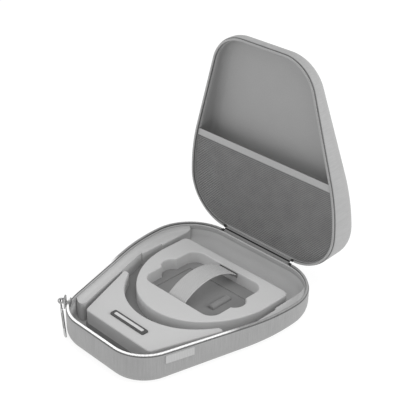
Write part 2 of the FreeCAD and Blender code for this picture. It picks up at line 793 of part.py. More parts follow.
def make_label(placement):
    """Woven tag on the straight right side of the base, just behind the front corner."""
    taper = math.radians(TAPER.value)
    along, out = V(math.sin(taper), math.cos(taper), 0), V(math.cos(taper), -math.sin(taper), 0)
    turn = FreeCAD.Placement(V(TURN_X.value, TURN_Y.value, 0), FreeCAD.Rotation(along, Z_AXIS, out, "ZXY"))
    top = RIM_TOP - of("label_drop")
    make_block("side_label", placement.multiply(turn), ZERO, of("label_thickness"), of("label_setback"),
               of("label_setback") + of("label_length"), top - of("label_height"), top)


def make_pocket(placement):
    """Mesh sheet over the wide end of the lid, and the plain band along its mouth."""
    low = of("rim_drop")
    high = low + of("binding_drop")
    mouth = HALF_LENGTH - of("pocket_reach")
    seam = mouth + of("pocket_band")
    mesh = new_body("mesh_pocket", placement)
    sketch = new_sketch(mesh, height=high - of("mesh_thickness"))
    outline(sketch, INSIDE_INSET)
    pad(mesh, sketch, of("mesh_thickness"))
    front = new_sketch(mesh)
    rectangle(front, -BEYOND, BEYOND, -BEYOND, seam)
    pocket(mesh, front)
    band = new_body("pocket_binding", placement)
    sketch = new_sketch(band, height=low)
    outline(sketch, INSIDE_INSET)
    pad(band, sketch, of("binding_drop"))
    beside = new_sketch(band)
    rectangle(beside, -BEYOND, BEYOND, -BEYOND, mouth)
    rectangle(beside, -BEYOND, BEYOND, seam, BEYOND)
    pocket(band, beside)


def make_slider(placement):
    """Two plates on both sides of the teeth, joined by a post between the two tracks."""
    corner, clearance = of("front_corner_radius"), of("slider_clearance")
    middle = of("rim_gap") / 2
    outer_low = corner + clearance
    inner_high = corner - of("teeth_inset") - of("teeth_width") - clearance
    inner_low = inner_high - of("inner_plate")
    outer_high = outer_low + of("outer_plate")
    half_length = of("slider_length") / 2
    body = new_body("slider_body", placement)
    for low, high, half_width, height in (
            (outer_low, outer_high, half_length, of("outer_plate_height")),
            (inner_low, outer_high - of("outer_plate") / 2, of("post_width") / 2, of("post_height")),
            (inner_low, inner_high, half_length * inner_high / outer_high, of("inner_plate_height"))):
        sketch = new_sketch(body, height=middle - height / 2)
        ring_piece(sketch, ZERO, ZERO, low, high, half_width, upright=False)
        pad(body, sketch, height)
        doc.recompute()
    bail = new_body("slider_bail", placement)
    wire, half = of("bail_wire"), of("bail_length") / 2
    rod = outer_high + of("bail_reach")
    sketch = new_sketch(bail, height=middle + of("bail_rise"))
    foot = outer_high - of("bail_foot")
    polygon(sketch, [(foot, -half), (rod + wire / 2, -half), (rod + wire / 2, half), (foot, half),
                     (foot, half - wire), (rod - wire / 2, half - wire), (rod - wire / 2, wire - half),
                     (foot, wire - half)])
    pad(bail, sketch, wire, both_ways=True)
    return rod, middle + of("bail_rise")


def make_pull(placement, rod, height):
    """Slotted pull with a loose eye round the bail, turned a little; its tip is just off the table."""
    hang = shift(rod.value, 0, height.value).multiply(rotation(Z_AXIS, 90 + of("pull_twist").value))
    leaning = placement.multiply(hang).multiply(rotation(Y_AXIS, -of("pull_lean").value))
    body = new_body("pull_tab", leaning)
    drop = -of("eye_drop")
    eye = new_sketch(body, plane="YZ_Plane")
    circle(eye, ZERO, drop, of("eye_outer") / 2)
    circle(eye, ZERO, drop, of("eye_inner") / 2)
    pad(body, eye, of("eye_width"), both_ways=True)
    neck_top = drop - (of("eye_outer") + of("eye_inner")) / 4
    shoulder = neck_top - of("pull_neck")
    half, neck = of("pull_width") / 2, of("eye_width") / 2
    tab = new_sketch(body, plane="XZ_Plane")
    end = -of("pull_length")
    polygon(tab, [(-neck, neck_top), (-neck, shoulder), (-half, shoulder - half + neck), (-half, end),
                  (half, end), (half, shoulder - half + neck), (neck, shoulder), (neck, neck_top)])
    pad(body, tab, of("pull_thickness"), both_ways=True)
    slot = new_sketch(body, plane="XZ_Plane")
    slot_top = -of("pull_slot_drop")
    rectangle(slot, -of("pull_slot_width") / 2, of("pull_slot_width") / 2,
              slot_top - of("pull_slot_length"), slot_top)
    pocket(body, slot)
    fillet(body, half / 2, lambda edge: abs(edge.CenterOfMass.z - end.value) < 0.001
           and edge.BoundBox.YLength > edge.BoundBox.XLength)


def make_base(placement):
    make_shell("base_shell", placement, ZERO, of("shell_wall"), "base")
    make_shell("base_lining", placement, LINING_INSET, of("lining_wall"), "base")
    make_ring("base_binding", placement, INSIDE_INSET, of("binding_thickness"),
              RIM_TOP - of("binding_drop") - of("binding_height"), of("binding_height"))
    make_zipper("base", placement)
    make_hinge_tape("base", placement)
    make_label(placement)


def make_tray(placement):
    make_tray_floor(placement)
    make_front_block(placement)
    make_rear_block(placement)
    make_ledge("left_ledge", placement, -1)
    make_ledge("right_ledge", placement, 1)
    make_liner(placement)
    make_strap(placement)
    make_anchors(placement)
    make_badge(placement)


def make_lid(placement):
    make_shell("lid_shell", placement, ZERO, of("shell_wall"), "lid")
    make_shell("lid_lining", placement, LINING_INSET, of("lining_wall"), "lid")
    make_ring("lid_binding", placement, INSIDE_INSET, of("binding_thickness"),
              of("rim_drop") + of("binding_drop"), of("binding_height"))
    make_zipper("lid", placement)
    make_hinge_tape("lid", placement)
    make_pocket(placement)


def check(thing):
    """Stop if an object of the document failed."""
    if "Invalid" in thing.State or "Error" in thing.State:
        raise ValueError(f"{thing.Label}: {thing.State}")


make_base(base_place())
make_tray(base_place())
make_lid(lid_place())
rod_reach, rod_height = make_slider(slider_place())
make_pull(slider_place(), rod_reach, rod_height)
doc.recompute()
for item in doc.Objects:
    check(item)
for part in bodies:
    if part.Shape.isNull() or not part.Shape.isValid() or not part.Shape.Solids:
        raise ValueError(part.Label + ": no valid solid")
for part in bodies:
    part.Shape.exportStep(f"parts/{part.Label}.step")
print(len(bodies), "pieces written")
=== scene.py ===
"""Looks of the headphone carrying case: cloth shells, zipper, fabric hinge, tray, strap, mesh pocket.

Lengths are in millimetres in the frame of a rim, like the CAD source, until place() puts them into
the frame of the whole case, in metres.
"""
import math
import bpy
import numpy as np
from mathutils import Matrix, Vector


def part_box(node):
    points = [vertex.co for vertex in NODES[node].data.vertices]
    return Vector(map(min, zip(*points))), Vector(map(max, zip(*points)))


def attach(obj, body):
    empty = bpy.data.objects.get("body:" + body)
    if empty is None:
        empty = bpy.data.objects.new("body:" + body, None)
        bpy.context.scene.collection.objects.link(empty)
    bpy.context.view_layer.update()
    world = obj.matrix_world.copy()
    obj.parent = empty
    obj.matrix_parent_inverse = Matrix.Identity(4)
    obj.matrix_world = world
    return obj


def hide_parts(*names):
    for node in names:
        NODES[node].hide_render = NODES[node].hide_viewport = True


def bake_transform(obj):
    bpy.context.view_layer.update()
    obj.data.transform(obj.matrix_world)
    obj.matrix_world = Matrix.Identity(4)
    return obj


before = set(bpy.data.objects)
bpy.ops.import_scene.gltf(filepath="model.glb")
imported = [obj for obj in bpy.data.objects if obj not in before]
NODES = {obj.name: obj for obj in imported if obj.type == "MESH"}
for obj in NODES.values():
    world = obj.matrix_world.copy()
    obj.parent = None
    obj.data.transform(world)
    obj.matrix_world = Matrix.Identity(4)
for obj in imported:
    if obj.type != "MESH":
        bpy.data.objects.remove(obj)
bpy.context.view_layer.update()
MM = 0.001
UP = (0.0, 0.0, 1.0)

# Outline of both halves: sizes, corner radii, radius of the bulging sides and taper of the straight ones
WIDTH, LENGTH = 210.0, 238.0
REAR_RADIUS, SIDE_RADIUS, FRONT_RADIUS = 55.0, 222.0, 43.0
TAPER = math.radians(16.5)
# Each half: the side of its rim it is on, depth, slant of its face and radius of its edge
BASE = {"side": -1, "depth": 31.8, "slant": math.radians(2.0), "edge": 13.0}
LID = {"side": 1, "depth": 29.8, "slant": math.radians(5.9), "edge": 12.0}
# Gap between the shut rims, how far a shell's edge stops short of its rim, and thickness of a wall
RIM_GAP, RIM_DROP, INSIDE = 4.2, 1.2, 3.8
# Hinge line, the opening at rest, and half widths of the hinge cloth and of the gap in the track
HINGE_Y = LENGTH / 2 - 0.5
OPENING = math.radians(87.5)
HINGE_HALF, TRACK_HALF = 49.0, 52.0
# Zipper: distance of its teeth from the outline, their pitch and size, and where the rear gap begins
TOOTH_INSET, TOOTH_PITCH, TOOTH_SIZE = 2.2, 1.35, (2.4, 1.15, 1.36)
TRACK_REAR = 90.0
# Hems: height, distance from the shell's edge, and inset, pitch and distance from the rim of the stitches
HEM_HEIGHT, HEM_DROP = 5.2, 1.0
STITCH_INSET, STITCH_PITCH, STITCH_DROP = 4.45, 3.0, 4.0
# Pocket: front edges of the mesh and of its band
MESH_FRONT, BAND_FRONT = 13.6, 5.6

TILT = Matrix.Rotation(-BASE["slant"], 4, "X")
BASE_PLACE = Matrix.Translation((0, 0, BASE["depth"] * math.cos(BASE["slant"]))) @ TILT
LID_PLACE = (BASE_PLACE @ Matrix.Translation((0, HINGE_Y, RIM_GAP / 2))
             @ Matrix.Rotation(-OPENING, 4, "X") @ Matrix.Translation((0, -HINGE_Y, RIM_GAP / 2)))


# ---------------------------------------------------------------- outline of the rims

# Nearest that two points of the outline lie, and spacing of the points on its straight parts
SAME_POINT, STRAIGHT_STEP = 1e-6, 3


def outline_loop():
    """Anticlockwise outline from the middle of the rear: points and outward normals."""
    half_length = LENGTH / 2
    rear_x, rear_y = WIDTH / 2 - REAR_RADIUS, half_length - REAR_RADIUS
    side_x = WIDTH / 2 - SIDE_RADIUS
    meet_x = side_x + SIDE_RADIUS * math.cos(TAPER)
    meet_y = rear_y - SIDE_RADIUS * math.sin(TAPER)
    front_y = FRONT_RADIUS - half_length
    turn_y = front_y - FRONT_RADIUS * math.sin(TAPER)
    front_x = meet_x - (meet_y - turn_y) * math.tan(TAPER) - FRONT_RADIUS * math.cos(TAPER)
    taper = math.degrees(TAPER)
    arcs = [(-rear_x, rear_y, REAR_RADIUS, 90, 180, 36),
            (-side_x, rear_y, SIDE_RADIUS, 180, 180 + taper, 24),
            (-front_x, front_y, FRONT_RADIUS, 180 + taper, 270, 30),
            (front_x, front_y, FRONT_RADIUS, 270, 360 - taper, 30),
            (side_x, rear_y, SIDE_RADIUS, 360 - taper, 360, 24),
            (rear_x, rear_y, REAR_RADIUS, 0, 90, 36)]
    points, normals = [], []
    for x, y, radius, start, end, count in arcs:
        for angle in np.radians(np.linspace(start, end, count)):
            normal = np.array([math.cos(angle), math.sin(angle)])
            here = np.array([x, y]) + radius * normal
            gap = np.hypot(*(here - points[-1])) if points else 0
            if points and gap < SAME_POINT:
                continue
            if gap > 2 * STRAIGHT_STEP:
                before = points[-1]
                for share in np.linspace(0, 1, int(gap / STRAIGHT_STEP))[1:-1]:
                    points.append(before + (here - before) * share)
                    normals.append(normal)
            points.append(here)
            normals.append(normal)
    first, last = points[0], points[-1]
    for share in np.linspace(0, 1, int(np.hypot(*(first - last)) / STRAIGHT_STEP))[1:-1]:
        points.append(last + (first - last) * share)
        normals.append(np.array([0.0, 1.0]))
    return np.array(points), np.array(normals)


POINTS, NORMALS = outline_loop()
STEPS = np.hypot(*(np.roll(POINTS, -1, 0) - POINTS).T)
ALONG = np.concatenate([[0], np.cumsum(STEPS)])
PERIMETER = ALONG[-1]


def on_outline(distance, inset):
    """Point and outward normal at a distance along the outline, moved in by an inset."""
    distance = distance % PERIMETER
    index = min(int(np.searchsorted(ALONG, distance, side="right")) - 1, len(POINTS) - 1)
    share = (distance - ALONG[index]) / STEPS[index]
    after = (index + 1) % len(POINTS)
    normal = NORMALS[index] * (1 - share) + NORMALS[after] * share
    normal = normal / np.hypot(*normal)
    return POINTS[index] * (1 - share) + POINTS[after] * share - inset * normal, normal


def walk(inset, pitch):
    """Points and outward normals all along the outline, a pitch apart."""
    distance = 0.0
    while distance < PERIMETER:
        yield on_outline(distance, inset)
        distance += pitch


def half_width(y, inset):
    """Half of the width inside an inset at a place along the length."""
    loop = POINTS - inset * NORMALS
    right = loop[loop[:, 0] > 0]
    order = np.argsort(right[:, 1])
    return float(np.interp(y, right[order, 1], right[order, 0]))


def place(matrix, points):
    """Rim frame in millimetres to the whole case in metres."""
    turn, move = np.array(matrix)[:3, :3], np.array(matrix)[:3, 3]
    return (np.asarray(points, float) @ turn.T + move) * MM


# ---------------------------------------------------------------- meshes

def new_piece(name, points, faces, uvs=None, smooth=True):
    """Mesh object from points in metres; uvs is one list of pairs for every face."""
    mesh = bpy.data.meshes.new(name)
    mesh.from_pydata([tuple(p) for p in points], [], faces)
    if uvs is not None:
        layer = mesh.uv_layers.new(name="weave")
        pairs = np.array([pair for face in uvs for pair in face], np.float32)
        layer.data.foreach_set("uv", pairs.ravel())
    mesh.validate()
    mesh.polygons.foreach_set("use_smooth", [smooth] * len(mesh.polygons))
    piece = bpy.data.objects.new(name, mesh)
    bpy.context.scene.collection.objects.link(piece)
    return piece


def finish_piece(piece, body, material, slot, *nodes):
    """Give a piece its material and its body, and hide the CAD nodes that it replaces; slot is not used.
    """
    piece.data.materials.append(material)
    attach(piece, body)
    if nodes:
        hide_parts(*nodes)


def grid_faces(rows, count, closed=True, flip=False):
    """Corner numbers of the faces between rows of count points."""
    faces = []
    for r in range(rows - 1):
        for c in range(count if closed else count - 1):
            n = (c + 1) % count
            face = [r * count + c, r * count + n, (r + 1) * count + n, (r + 1) * count + c]
            faces.append(face[::-1] if flip else face)
    return faces


def end_faces(rows, count, flip=False):
    """Faces that close both ends of a tube of rows."""
    turns = (1, -1) if flip else (-1, 1)
    return [list(range(r * count, (r + 1) * count))[::turn] for r, turn in zip((0, rows - 1), turns)]


def flat_uvs(points, faces):
    """Coordinates in metres of the corners of faces, seen along the third axis."""
    return [[tuple(np.array(points[i][:2]) * MM) for i in face] for face in faces]


def loft(name, matrix, rows, flat_from=None, flip=False):
    """Surface through rows of points that follow the outline; the last rows may lie flat."""
    count = len(rows[0])
    points = np.concatenate([place(matrix, row) for row in rows])
    steps = [np.median(np.linalg.norm(b - a, axis=1)) for a, b in zip(rows, rows[1:])]
    drop = np.concatenate([[0], np.cumsum(steps)])
    faces, uvs = [], []
    for r in range(len(rows) - 1):
        for c in range(count):
            n = (c + 1) % count
            face = [r * count + c, r * count + n, (r + 1) * count + n, (r + 1) * count + c]
            if flat_from is not None and r >= flat_from:
                uv = [tuple(rows[i // count][i % count][:2] * MM) for i in face]
            else:
                a, b, high, low = ALONG[c] * MM, ALONG[c + 1] * MM, drop[r] * MM, drop[r + 1] * MM
                uv = [(a, high), (b, high), (b, low), (a, low)]
            if flip:
                face, uv = face[::-1], uv[::-1]
            faces.append(face)
            uvs.append(uv)
    return new_piece(name, points, faces, uvs)


# Place that the rows over the face of a half run in to
FACE_MIDDLE = np.array([0.0, 8.0])


def wall_rows(half, inset, insets_and_heights, steps=9):
    """Rows from the rim down the wall, round the edge and over the slanted face of one half."""
    side, slant = half["side"], half["slant"]
    radius = half["edge"] - inset
    level = side * (half["depth"] - inset / math.cos(slant))
    rows = [np.column_stack([POINTS - offset * NORMALS, np.full(len(POINTS), height)])
            for offset, height in insets_and_heights]
    base = POINTS - inset * NORMALS
    slope = math.tan(slant) * NORMALS[:, 1]
    length = np.sqrt(1 + slope ** 2)
    corner = level + math.tan(slant) * base[:, 1]
    centre = corner - slope * radius - side * radius * length
    last = np.arctan2(1, -side * slope)
    top = rows[-1][0, 2]
    for share in (0.25, 0.5, 0.75):
        rows.append(np.column_stack([base, top + (centre - top) * share]))
    for share in np.linspace(0, 1, steps):
        angle = last * share
        reach = radius * (np.cos(angle) - 1)
        rows.append(np.column_stack([base + reach[:, None] * NORMALS,
                                     centre + side * radius * np.sin(angle)]))
    edge = rows[-1]
    flat_from = len(rows) - 1
    for share in (0.12, 0.3, 0.5, 0.7, 0.85, 0.95, 0.995):
        flat = edge[:, :2] * (1 - share) + FACE_MIDDLE * share
        rows.append(np.column_stack([flat, level + math.tan(slant) * flat[:, 1]]))
    return rows, flat_from


# ---------------------------------------------------------------- materials

def grey(level):
    """Linear value of a display level from 0 to 255."""
    share = level / 255
    return ((share + 0.055) / 1.055) ** 2.4


def tone(level):
    """Neutral colour of a display level."""
    return (grey(level),) * 3 + (1.0,)


class Nodes:
    """Short way to write a node tree."""

    def __init__(self, name):
        self.material = bpy.data.materials.new(name)
        self.material.use_nodes = True
        self.tree = self.material.node_tree
        self.tree.nodes.clear()
        self.output = self.add("ShaderNodeOutputMaterial")
        self.shader = self.add("ShaderNodeBsdfPrincipled")
        self.tree.links.new(self.shader.outputs[0], self.output.inputs[0])

    def add(self, kind, inputs=None, **settings):
        """New node; each input is a value or another node's socket."""
        node = self.tree.nodes.new(kind)
        for key, value in settings.items():
            setattr(node, key, value)
        for key, value in (inputs or {}).items():
            socket = node.inputs[key]
            if isinstance(value, bpy.types.NodeSocket):
                self.tree.links.new(value, socket)
            else:
                socket.default_value = value
        return node

    def coordinates(self, kind, *scale):
        """Coordinates of a kind, scaled by one number or by three."""
        source = self.add("ShaderNodeTexCoord").outputs[kind]
        scale = scale if len(scale) == 3 else scale * 3
        return self.add("ShaderNodeMapping", {"Vector": source, "Scale": scale}).outputs[0]

    def axis(self, kind, letter):
        """One of the three coordinates of a kind."""
        source = self.add("ShaderNodeTexCoord").outputs[kind]
        return self.add("ShaderNodeSeparateXYZ", {"Vector": source}).outputs[letter]

    def noise(self, vector, detail=3.0, rough=0.6):
        """Noise with grains of about one unit of the coordinates."""
        return self.add("ShaderNodeTexNoise", {"Vector": vector, "Scale": 1.0, "Detail": detail,
                                               "Roughness": rough}).outputs["Fac"]

    def wave(self, vector, direction, distortion=0.0):
        """Even ribs: one for each unit of the coordinates."""
        inputs = {"Vector": vector, "Scale": 2 * math.pi / 20, "Distortion": distortion, "Detail": 2.0,
                  "Detail Scale": 1.5}
        return self.add("ShaderNodeTexWave", inputs, wave_type="BANDS", bands_direction=direction,
                        wave_profile="SIN").outputs["Fac"]

    def math(self, operation, a, b):
        """Sum, product or other operation on two values."""
        return self.add("ShaderNodeMath", {0: a, 1: b}, operation=operation).outputs[0]

    def total(self, *parts):
        """Weighted sum: each part is (value, weight)."""
        sums = [self.math("MULTIPLY", value, weight) for value, weight in parts]
        result = sums[0]
        for part in sums[1:]:
            result = self.math("ADD", result, part)
        return result

    def step_up(self, value, low, high):
        """0 up to low and 1 from high on."""
        inputs = {"Value": value, "From Min": low, "From Max": high}
        return self.add("ShaderNodeMapRange", inputs).outputs[0]

    def ramp(self, value, low, high, dark, light):
        """Colour from dark to light as value goes from low to high."""
        node = self.add("ShaderNodeValToRGB", {"Fac": value})
        node.color_ramp.elements[0].position = low
        node.color_ramp.elements[0].color = dark
        node.color_ramp.elements[1].position = high
        node.color_ramp.elements[1].color = light
        return node.outputs[0]

    def bump(self, height, distance, strength):
        """Relief of a depth in metres."""
        node = self.add("ShaderNodeBump", {"Height": height, "Distance": distance, "Strength": strength})
        self.tree.links.new(node.outputs[0], self.shader.inputs["Normal"])

    def surface(self, color, roughness, **sockets):
        """Inputs of the shader, by name or joined to a node."""
        values = {"Base Color": color, "Roughness": roughness}
        values.update({key.replace("_", " "): value for key, value in sockets.items()})
        for key, value in values.items():
            if isinstance(value, bpy.types.NodeSocket):
                self.tree.links.new(value, self.shader.inputs[key])
            else:
                self.shader.inputs[key].default_value = value


def cloth(name, level, spread, pitch, streak, kind="UV", depth=0.00012):
    """Plain weave with threads of a pitch in metres, and streaks that run up and down."""
    n = Nodes(name)
    threads = n.coordinates(kind, 1 / pitch)
    weave = n.math("MULTIPLY", n.wave(threads, "X", 0.6), n.wave(threads, "Y", 0.6))
    streaks = n.noise(n.coordinates(kind, 900.0, 900.0 * streak, 900.0), 4.0, 0.65)
    cloud = n.noise(n.coordinates(kind, 40.0), 2.0, 0.5)
    mixed = n.total((streaks, 0.55), (cloud, 0.2), (weave, 0.25))
    color = n.ramp(mixed, 0.28, 0.68, tone(level - spread), tone(level + spread))
    n.surface(color, 0.85, Sheen_Weight=0.15, Sheen_Roughness=0.5, Specular_IOR_Level=0.25)
    n.bump(n.total((weave, 0.7), (streaks, 0.5)), depth, 0.6)
    return n.material


def webbing(name, level, spread, pitch):
    """Flat elastic: ribs that run across it, with fine threads along it."""
    n = Nodes(name)
    ribs = n.wave(n.coordinates("UV", 1 / pitch), "Y", 0.25)
    threads = n.wave(n.coordinates("UV", 1500.0, 300.0, 1500.0), "X", 0.8)
    cloud = n.noise(n.coordinates("UV", 700.0, 90.0, 700.0))
    mixed = n.total((ribs, 0.55), (threads, 0.15), (cloud, 0.3))
    color = n.ramp(mixed, 0.2, 0.8, tone(level - spread), tone(level + spread))
    n.surface(color, 0.8, Sheen_Weight=0.15, Specular_IOR_Level=0.25)
    n.bump(mixed, 0.0002, 0.7)
    return n.material


def folded(name, level, crease_shade_level, crease_at, crease_width):
    """Hinge cloth with a dark line of painted shade along its fold, at a distance from its first edge in
    metres.
    """
    n = Nodes(name)
    away = n.math("ABSOLUTE", n.math("SUBTRACT", n.axis("UV", "Y"), crease_at), 0.0)
    # Painted shade: the dark line along the fold stands for the shadow in the crease
    line = n.step_up(away, crease_width / 2, crease_width)
    weave = n.wave(n.coordinates("UV", 1400.0), "X", 0.8)
    fibres = n.noise(n.coordinates("UV", 3000.0, 900.0, 3000.0))
    grain = n.total((weave, 0.12), (fibres, 0.2))
    mixed = n.math("SUBTRACT", line, grain)
    n.surface(n.ramp(mixed, 0.0, 0.9, tone(crease_shade_level), tone(level)), 0.9, Specular_IOR_Level=0.2)
    n.bump(grain, 0.0001, 0.5)
    return n.material


def coil(name, painted_highlight_level, dull, highlight_end_y):
    """Coil teeth: a painted highlight in front of a place along the case, their own dull grey behind it.
    """
    n = Nodes(name)
    # Painted highlight: the teeth in front of the change place take the lighter level
    behind = n.step_up(n.axis("Object", "Y"), highlight_end_y - 0.008, highlight_end_y + 0.008)
    grain = n.noise(n.coordinates("Object", 1600.0), 2.0, 0.5)
    mixed = n.total((behind, 1.0), (grain, 0.08))
    n.surface(n.ramp(mixed, 0.05, 1.0, tone(painted_highlight_level), tone(dull)), 0.4, Coat_Weight=0.1)
    n.bump(grain, 0.00002, 0.3)
    return n.material


def felt(name, level, spread):
    """Brushed or flocked surface: fine fibres with a soft sheen."""
    n = Nodes(name)
    fibres = n.noise(n.coordinates("Object", 2500.0), 4.0, 0.7)
    cloud = n.noise(n.coordinates("Object", 25.0), 2.0, 0.5)
    mixed = n.total((fibres, 0.6), (cloud, 0.4))
    color = n.ramp(mixed, 0.3, 0.7, tone(level - spread), tone(level + spread))
    n.surface(color, 0.9, Sheen_Weight=0.2, Sheen_Roughness=0.6, Specular_IOR_Level=0.25)
    n.bump(fibres, 0.00003, 0.5)
    return n.material


def plastic(name, level, spread, roughness, coat=0.0):
    """Moulded plastic with a fine grain, or waxed thread."""
    n = Nodes(name)
    grain = n.noise(n.coordinates("Object", 1600.0), 2.0, 0.5)
    color = n.ramp(grain, 0.3, 0.7, tone(level - spread), tone(level + spread))
    n.surface(color, roughness, Coat_Weight=coat, Coat_Roughness=0.15)
    n.bump(grain, 0.00002, 0.3)
    return n.material


def metal(name, level, roughness):
    """Polished die-cast metal with faint scuffs."""
    n = Nodes(name)
    scuffs = n.noise(n.coordinates("Object", 300.0, 300.0, 1500.0), 5.0, 0.65)
    rough = n.ramp(scuffs, 0.35, 0.75, (roughness * 0.6,) * 3 + (1,), (roughness * 1.7,) * 3 + (1,))
    n.surface(n.ramp(scuffs, 0.3, 0.8, tone(level - 8), tone(level + 4)), rough, Metallic=1.0)
    n.bump(scuffs, 0.00001, 0.2)
    return n.material


def netting(name, level, column_pitch, row_pitch):
    """Fine knitted mesh that lets some of what lies behind it show."""
    n = Nodes(name)
    at = n.coordinates("UV", 1 / column_pitch, 1 / row_pitch, 1 / row_pitch)
    rows = n.wave(at, "Y", 0.4)
    columns = n.wave(at, "X", 0.4)
    knit = n.math("MAXIMUM", rows, columns)
    cloud = n.noise(n.coordinates("UV", 60.0), 3.0, 0.5)
    mixed = n.total((rows, 0.5), (knit, 0.2), (cloud, 0.3))
    color = n.ramp(mixed, 0.2, 0.85, tone(level - 40), tone(level + 30))
    n.surface(color, 0.75, Sheen_Weight=0.1, Specular_IOR_Level=0.2)
    alpha = n.ramp(knit, 0.25, 0.75, (0.45, 0.45, 0.45, 1), (0.85, 0.85, 0.85, 1))
    n.tree.links.new(alpha, n.shader.inputs["Alpha"])
    n.bump(knit, 0.0002, 0.6)
    return n.material


# One outer cloth in two tones: the darker base copy is painted shade against the floor light it gets, the
# lighter lid copy is painted light
BASE_OUTER_PAINTED_SHADE = cloth("base_outer_cloth_painted_shade", 143, 9, 0.0009, 0.05)
LID_OUTER_PAINTED_LIGHT = cloth("lid_outer_cloth_painted_light", 154, 9, 0.0009, 0.05)
LINING = cloth("lining_cloth", 146, 4, 0.0006, 0.6, depth=0.00006)
# The base lining is a lighter copy of the lid lining: painted light against the shade the open lid casts
# into the base
BASE_LINING_PAINTED_LIGHT = cloth("base_lining_cloth_painted_light", 178, 4, 0.0006, 0.6, depth=0.00006)
BINDING = cloth("binding_cloth", 150, 5, 0.0007, 0.3, depth=0.0001)
# The zipper tape is real cloth; its dark tone is painted shade for the shadow in the gap between coil and
# shell
TAPE_PAINTED_SHADE = cloth("zipper_tape_cloth_painted_shade", 96, 8, 0.0006, 0.5, kind="Object", depth=0.00008)
# The dark line along the hinge fold is painted shade
HINGE_PAINTED_CREASE_SHADE = folded("hinge_cloth", 134, 30, 0.0036, 0.0008)
BAND = cloth("pocket_band_cloth", 158, 4, 0.0006, 0.3, depth=0.00008)
LABEL = cloth("label_cloth", 168, 6, 0.0008, 0.5, kind="Object", depth=0.0001)
ELASTIC = webbing("elastic_webbing", 166, 20, 0.0012)
MESH = netting("pocket_mesh", 106, 0.0014, 0.0022)
TRAY = felt("tray_flock", 182, 3)
# The tray floor and cavity liner take a darker copy of the tray flock: painted shade for their deep places
DEEP_TRAY_PAINTED_SHADE = felt("tray_floor_flock_painted_shade", 128, 4)
ANCHOR = felt("anchor_flock", 150, 4)
# The pale front of the base coil is a painted highlight; the lid coil has none
BASE_COIL_PAINTED_HIGHLIGHT = coil("base_coil_plastic_painted_highlight", 250, 150, -0.015)
LID_COIL = coil("lid_coil_plastic", 158, 158, 1.0)
STOP = plastic("stop_plastic", 40, 3, 0.4)
BADGE = plastic("badge_plastic", 54, 3, 0.35, coat=0.3)
INLAY = plastic("inlay_plastic", 196, 3, 0.5)
THREAD = plastic("thread", 168, 4, 0.7)
CHROME = metal("polished_metal", 168, 0.2)


# ---------------------------------------------------------------- shells and linings

# Sections as (inset, distance down): the edges of the cloth at the tape, and the hem
SHELL_LIP = [(3.2, 0.0), (0.9, 0.0), (0.45, 0.08), (0.13, 0.35), (0.0, 0.8)]
LINING_LIP = [(3.0, 0.0), (3.6, 0.0), (INSIDE, 0.3)]
HEM_SECTION = [(3.8, 0.0), (4.1, 0.02), (4.35, 0.2), (4.4, 0.6), (4.33, 1.3), (4.4, 2.6), (4.33, 3.9),
               (4.4, 4.6), (4.35, 5.0), (4.1, 5.18), (3.8, HEM_HEIGHT)]


def lip_rows(half, lip):
    """Insets and heights of a lip that is given as (inset, distance down from the edge)."""
    return [(inset, half["side"] * RIM_DROP + half["side"] * down) for inset, down in lip]


def make_shell(name, half, matrix, body, material, *nodes):
    """Outer cloth of one half, with a rounded lip at the tape."""
    rows, flat_from = wall_rows(half, 0.0, lip_rows(half, SHELL_LIP))
    shell = loft(name, matrix, rows, flat_from, flip=half["side"] > 0)
    finish_piece(shell, body, material, "outer_fabric", *nodes)


def make_lining(name, half, matrix, body, material, *nodes):
    """Lining of one half, from the tape down the wall and over the face."""
    rows, flat_from = wall_rows(half, INSIDE, lip_rows(half, LINING_LIP))
    lining = loft(name, matrix, rows, flat_from, flip=half["side"] < 0)
    finish_piece(lining, body, material, "lining", *nodes)


def make_binding(name, half, matrix, body, *nodes):
    """Folded hem with rounded edges along the top of a lining."""
    side = half["side"]
    top = side * (RIM_DROP + HEM_DROP)
    rows = [np.column_stack([POINTS - inset * NORMALS, np.full(len(POINTS), top + side * down)])
            for inset, down in HEM_SECTION]
    hem = loft(name, matrix, rows, flip=side < 0)
    finish_piece(hem, body, BINDING, "binding", *nodes)


def beads(name, matrix, places, size):
    """Many small rounded blocks: each place is (centre, across, along, up)."""
    shape, faces = rounded_block(*size)
    points, all_faces = [], []
    for number, (centre, *axes) in enumerate(places):
        points.append(shape @ np.array(axes) + centre)
        all_faces += [[number * len(shape) + i for i in face] for face in faces]
    uvs = flat_uvs(shape, faces) * len(places)
    return new_piece(name, place(matrix, np.concatenate(points)), all_faces, uvs)


def rounded_block(across, along, up):
    """Superellipsoid: rings along the first axis."""
    rings, sides = 4, 8
    ring_power, corner_power = 0.35, 0.5
    points = []
    for ring in range(rings):
        angle = math.pi * (ring + 0.5) / rings
        reach, radius = math.cos(angle), math.sin(angle) ** ring_power
        for step in range(sides):
            turn = 2 * math.pi * (step + 0.5) / sides
            x, y, z = (math.copysign(abs(share) ** corner_power, share)
                       for share in (reach, math.cos(turn), math.sin(turn)))
            points.append((x * across / 2, y * radius * along / 2, z * radius * up / 2))
    return np.array(points), grid_faces(rings, sides) + end_faces(rings, sides)


def make_teeth(name, half, matrix, body, material, *nodes):
    """Coil teeth along the track; they stand on the tape, towards the other half."""
    places = []
    for (x, y), (out_x, out_y) in walk(TOOTH_INSET, TOOTH_PITCH):
        if y <= TRACK_REAR or abs(x) >= TRACK_HALF + 1:
            places.append(((x, y, -half["side"] * 0.5), (out_x, out_y, 0.0), (-out_y, out_x, 0.0), UP))
    teeth = beads(name, matrix, places, TOOTH_SIZE)
    finish_piece(teeth, body, material, "zipper_teeth", *nodes)


def make_stitches(name, half, matrix, body):
    """Row of short stitches along the middle of a hem."""
    places = []
    for (x, y), (out_x, out_y) in walk(STITCH_INSET, STITCH_PITCH):
        places.append(((x, y, half["side"] * STITCH_DROP), (-out_y, out_x, 0.0), UP, (out_x, out_y, 0.0)))
    stitches = beads(name, matrix, places, (STITCH_PITCH * 0.62, 0.35, 0.3))
    finish_piece(stitches, body, THREAD, "binding")


